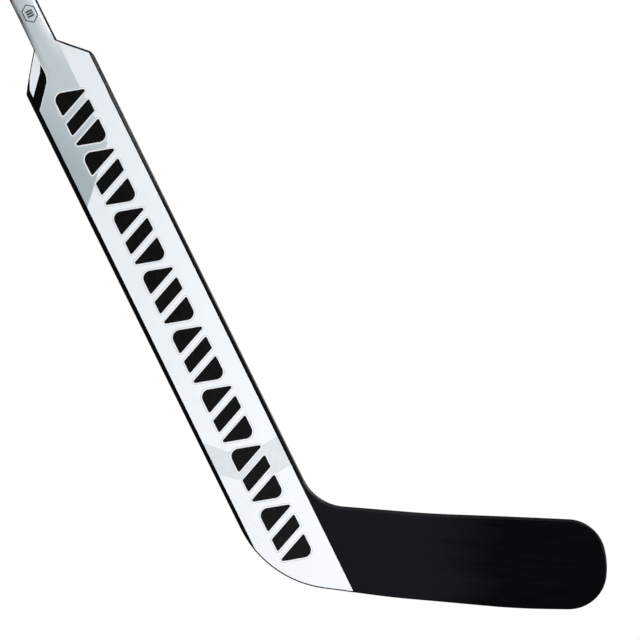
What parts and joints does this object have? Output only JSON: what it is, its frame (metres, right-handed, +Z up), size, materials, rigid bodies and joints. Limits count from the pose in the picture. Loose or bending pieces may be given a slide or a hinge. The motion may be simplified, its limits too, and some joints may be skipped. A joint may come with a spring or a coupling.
{
  "type": "ice hockey goaltender stick",
  "caption": "Goaltender's ice hockey stick: slim shaft, wide shouldered paddle and a curved blade with rounded heel and toe, foam core between laminated skins.",
  "frame": {"origin": "middle of the flat of the blade's sole, on the plane half way through the thickness of the shaft", "axes": "+X along the blade from heel to toe, +Z up, with the shaft leaning 31 degrees from +Z towards -X; -Y is the front face, the way the blade hooks"},
  "size_m": [1.0713, 0.0385, 1.2709],
  "materials": {
    "aspen_wood": "bare, laminated",
    "birch_wood": "bare, laminated",
    "silver_wrap": "silver lacquer over fibre, clear coated",
    "badge_film": "printed film",
    "foam": "rigid foam",
    "black_rail": "black lacquer, semi-gloss",
    "fibre_skin": "fibreglass laminate",
    "white_film": "white printed film, clear coated",
    "black_blade": "black satin lacquer over fibre"
  },
  "bodies": {
    "root": {"shaft_core": "aspen_wood", "shaft_left_ply": "birch_wood", "shaft_right_ply": "birch_wood", "shaft_wrap": "silver_wrap", "shaft_badge": "badge_film", "paddle_core_left": "foam", "paddle_core_right": "foam", "paddle_left_rail": "black_rail", "paddle_right_rail": "black_rail", "shoulder_left_rail": "black_rail", "shoulder_right_rail": "black_rail", "paddle_front_skin": "fibre_skin", "paddle_back_skin": "fibre_skin", "paddle_front_decal": "white_film", "paddle_back_decal": "white_film", "heel_block": "birch_wood", "heel_rail": "black_rail", "throat_rail": "black_rail", "blade_top_rail": "black_blade", "blade_toe_rail": "black_blade", "blade_sole_rail": "black_blade", "blade_front_skin": "black_blade", "blade_back_skin": "black_blade", "blade_core_lower": "foam", "blade_core_upper": "foam", "blade_stringer": "birch_wood"}
  },
  "joints": []
}
